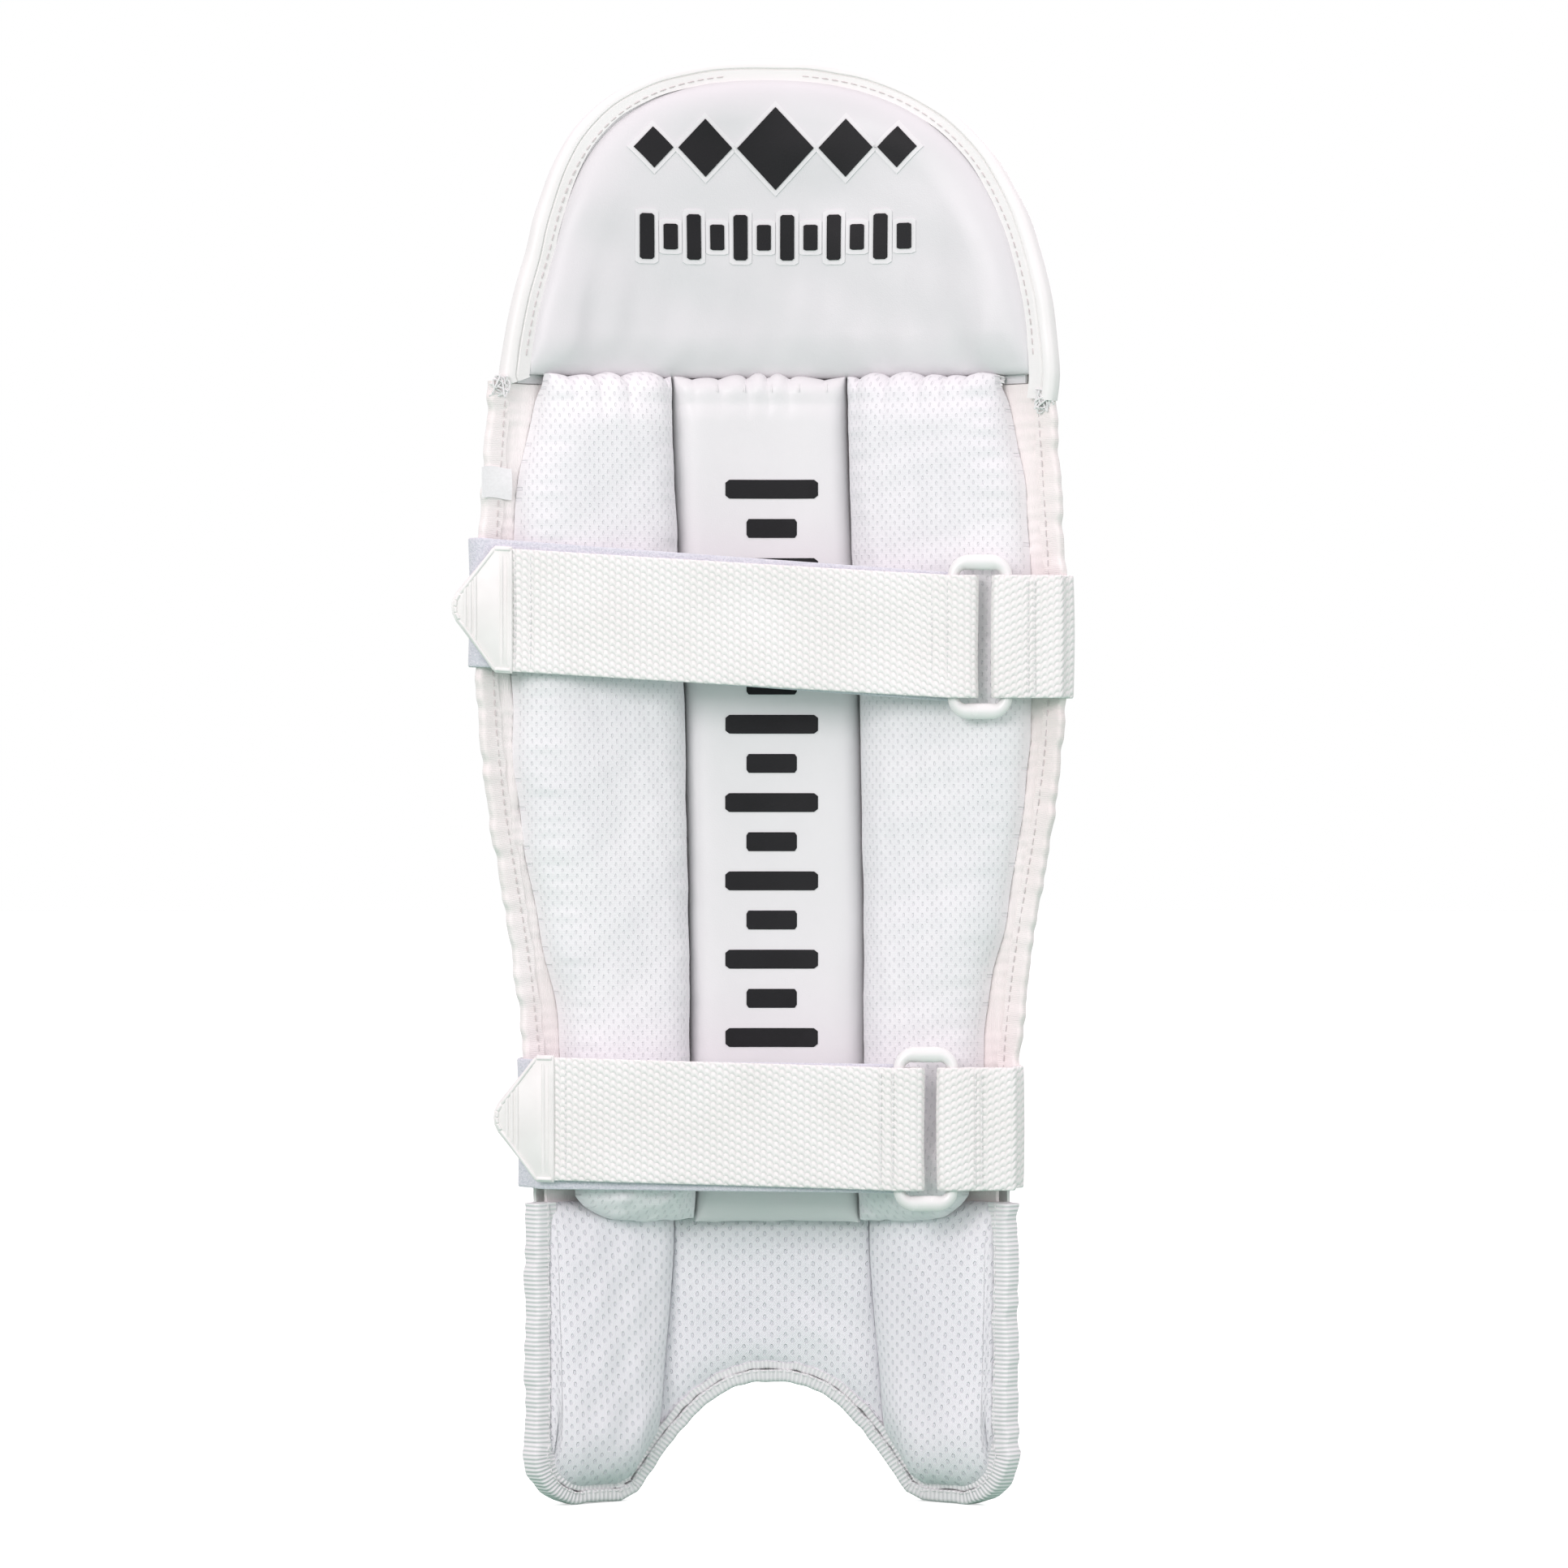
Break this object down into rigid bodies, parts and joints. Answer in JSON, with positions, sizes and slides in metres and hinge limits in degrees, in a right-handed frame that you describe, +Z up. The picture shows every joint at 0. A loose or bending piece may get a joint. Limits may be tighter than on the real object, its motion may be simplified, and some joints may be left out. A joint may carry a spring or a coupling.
{
  "type": "cricket leg pad",
  "caption": "Batting leg pad: domed knee flap, caned shin, calf cushions on the leg side, bound instep with a shoe arch, and wide straps through plastic rings",
  "frame": {"origin": "middle of the bounding box's base: the pad stands on the two lobes of its instep", "axes": "+Z up the leg, -Y towards the wearer's leg, +X to the right seen from the leg side"},
  "size_m": [0.2998, 0.0994, 0.7],
  "materials": {
    "white_pu": "smooth white PU with a faint grain",
    "grey_white_pu": "smooth cool white PU, satin",
    "foam": "closed-cell foam",
    "tricot": "pinkish cream brushed tricot",
    "label_satin": "blank white satin label",
    "knit_mesh": "fine knit with staggered small slits",
    "instep_mesh": "coarser knit with staggered diamond holes",
    "grosgrain": "ribbed white binding tape",
    "cane": "bare cane",
    "webbing": "heavy pebbled diagonal weave",
    "pile": "fuzzy loop pile",
    "hook": "moulded hook tape",
    "soft_pvc": "soft moulded PVC, satin",
    "ring_plastic": "glossy white plastic"
  },
  "bodies": {
    "root": {"knee_roll_1": "white_pu", "knee_roll_2": "white_pu", "knee_roll_3": "white_pu", "knee_backing": "foam", "shin_cover": "white_pu", "shin_foam": "foam", "left_side_bolster": "white_pu", "right_side_bolster": "white_pu", "lining": "tricot", "left_wing_hem": "tricot", "right_wing_hem": "tricot", "size_label": "label_satin", "left_calf_bolster": "knit_mesh", "right_calf_bolster": "knit_mesh", "calf_centre_panel": "grey_white_pu", "cane_1": "cane", "cane_2": "cane", "cane_3": "cane", "cane_4": "cane", "cane_5": "cane", "cane_6": "cane", "cane_7": "cane", "upper_ring_loop": "webbing", "upper_pile_strap": "pile", "lower_ring_loop": "webbing", "lower_pile_strap": "pile"},
    "top_flap": {"top_flap_cover": "white_pu", "top_flap_foam": "foam", "top_flap_panel": "grey_white_pu", "top_flap_rim": "white_pu"},
    "instep": {"instep_cover": "white_pu", "instep_foam": "foam", "left_instep_cushion": "instep_mesh", "centre_instep_cushion": "instep_mesh", "right_instep_cushion": "instep_mesh", "instep_binding": "grosgrain"},
    "upper_ring_body": {"upper_ring": "ring_plastic"},
    "upper_strap_flap": {"upper_strap_webbing": "webbing", "upper_hook_patch": "hook", "upper_pull_tab": "soft_pvc"},
    "lower_ring_body": {"lower_ring": "ring_plastic"},
    "lower_strap_flap": {"lower_strap_webbing": "webbing", "lower_hook_patch": "hook", "lower_pull_tab": "soft_pvc"}
  },
  "joints": [
    {"name": "top_flap_bend", "type": "hinge", "parent": "root", "child": "top_flap", "pos_m": [0.00342, -0.01531, 0.545], "axis": [1, 0, 0], "range_deg": [-8, 14]},
    {"name": "instep_bend", "type": "hinge", "parent": "root", "child": "instep", "pos_m": [0.00342, 0.02469, 0.15], "axis": [1, 0, 0], "range_deg": [-5, 18]},
    {"name": "upper_ring_swing", "type": "hinge", "parent": "root", "child": "upper_ring_body", "pos_m": [0.11592, -0.04404, 0.4185], "axis": [0, 0, 1], "range_deg": [0, 40]},
    {"name": "upper_strap_peel", "type": "hinge", "parent": "upper_ring_body", "child": "upper_strap_flap", "pos_m": [0.09042, -0.04226, 0.4185], "axis": [0, 0, 1], "range_deg": [0, 120]},
    {"name": "lower_ring_swing", "type": "hinge", "parent": "root", "child": "lower_ring_body", "pos_m": [0.08992, -0.04467, 0.183], "axis": [0, 0, 1], "range_deg": [0, 40]},
    {"name": "lower_strap_peel", "type": "hinge", "parent": "lower_ring_body", "child": "lower_strap_flap", "pos_m": [0.06442, -0.04467, 0.183], "axis": [0, 0, 1], "range_deg": [0, 120]}
  ]
}
